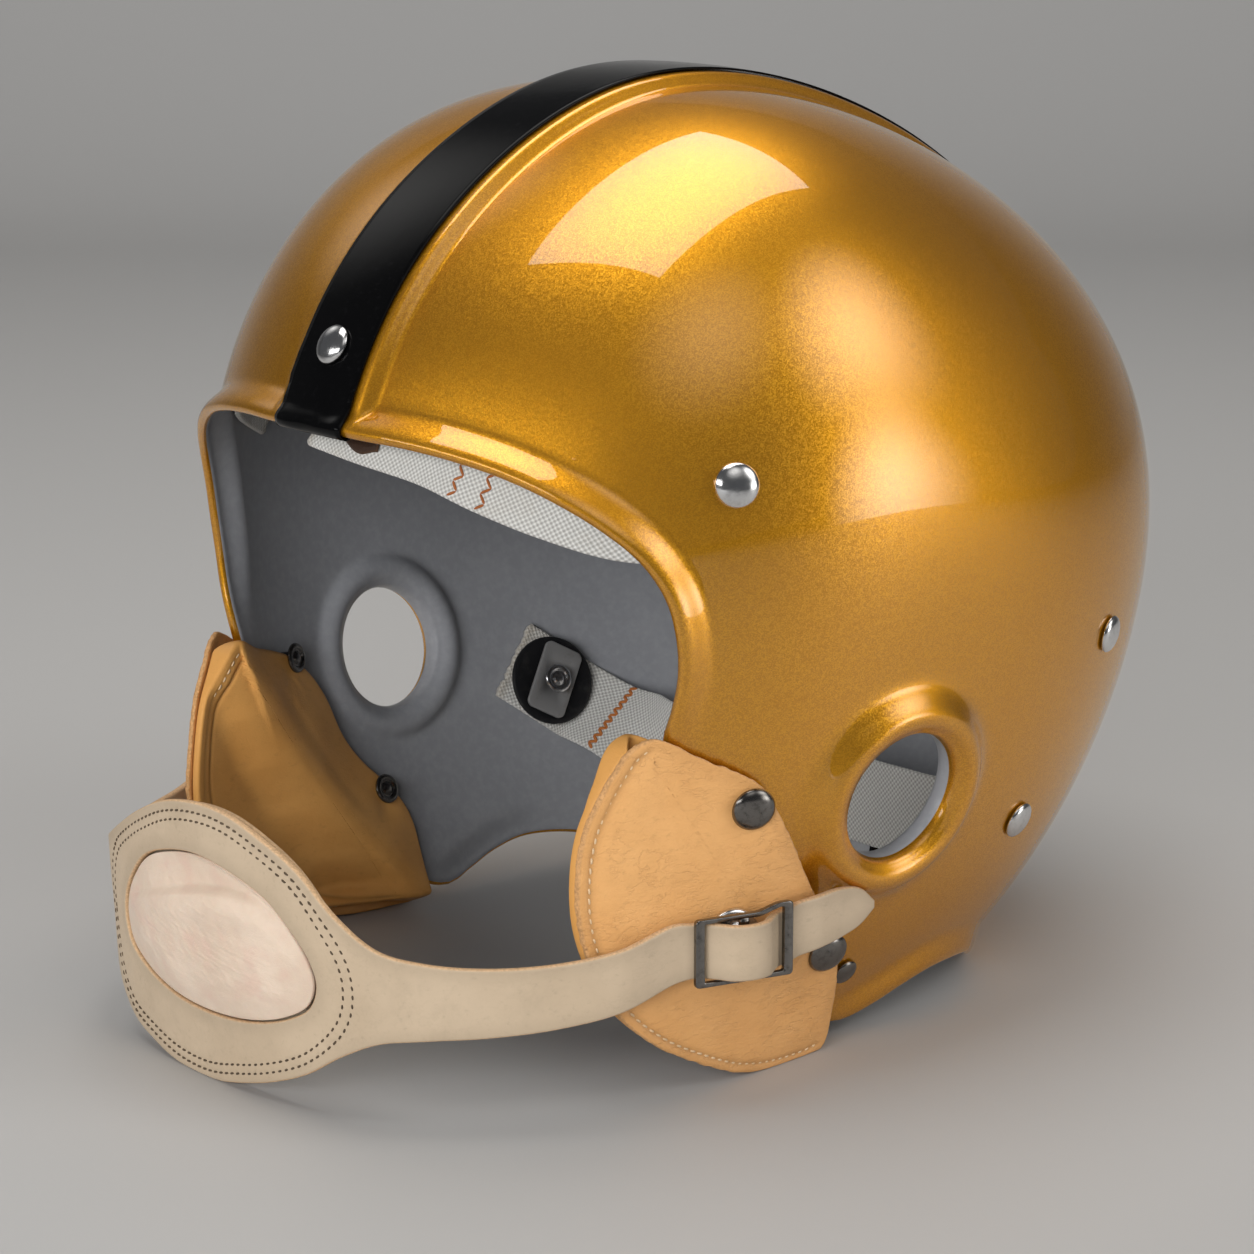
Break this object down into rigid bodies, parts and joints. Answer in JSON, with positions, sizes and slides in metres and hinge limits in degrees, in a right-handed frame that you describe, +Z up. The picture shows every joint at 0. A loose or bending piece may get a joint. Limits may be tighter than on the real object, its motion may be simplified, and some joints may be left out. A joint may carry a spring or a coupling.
{
  "type": "football helmet",
  "caption": "Moulded open-face football helmet with a raised centre rib and taped stripe, round ear holes, leather jaw pads, inner webbing and a leather chin strap with a padded cup.",
  "frame": {"origin": "on the floor, under the middle of the helmet's overall length and width", "axes": "+Z up, +Y from the face opening to the back of the head, +X to the wearer's left"},
  "size_m": [0.2282, 0.3068, 0.2436],
  "materials": {
    "gold_paint": "amber gold flake paint under clear gloss on a moulded plastic shell, plain grey inside",
    "black_tape": "gloss black tape",
    "bright_rivet": "bright nickel plate with light wear",
    "dark_nickel": "dark polished nickel plate",
    "tan_leather": "smooth tan vegetable tanned leather",
    "brown_leather": "dark brown leather",
    "strap_leather": "smooth bone coloured leather with raw tan edges",
    "soft_pad": "thin soft cream leather over padding",
    "cotton_web": "woven cotton webbing",
    "black_rubber": "smooth black rubber",
    "grey_steel": "dull grey steel"
  },
  "bodies": {
    "root": {"shell": "gold_paint", "centre_stripe": "black_tape", "front_rivet": "bright_rivet", "side_rivet_left": "bright_rivet", "side_rivet_right": "bright_rivet", "rear_upper_rivet_left": "bright_rivet", "rear_upper_rivet_right": "bright_rivet", "rear_lower_rivet_left": "bright_rivet", "rear_lower_rivet_right": "bright_rivet", "jaw_stud_left": "dark_nickel", "jaw_stud_right": "dark_nickel", "jaw_rivet_upper_left": "dark_nickel", "jaw_rivet_upper_right": "dark_nickel", "jaw_rivet_lower_left": "dark_nickel", "jaw_rivet_lower_right": "dark_nickel", "jaw_flap_left": "tan_leather", "jaw_flap_right": "tan_leather", "jaw_lining_left": "tan_leather", "jaw_lining_right": "tan_leather", "brow_web_left": "cotton_web", "brow_web_right": "cotton_web", "brow_tab": "brown_leather", "nape_web": "cotton_web", "nape_washer_left": "black_rubber", "nape_washer_right": "black_rubber", "nape_plate_left": "grey_steel", "nape_plate_right": "grey_steel", "chin_strap": "strap_leather", "cup_backing": "strap_leather", "chin_pad": "soft_pad", "buckle": "dark_nickel", "snap_left": "bright_rivet", "snap_right": "bright_rivet"}
  },
  "joints": []
}
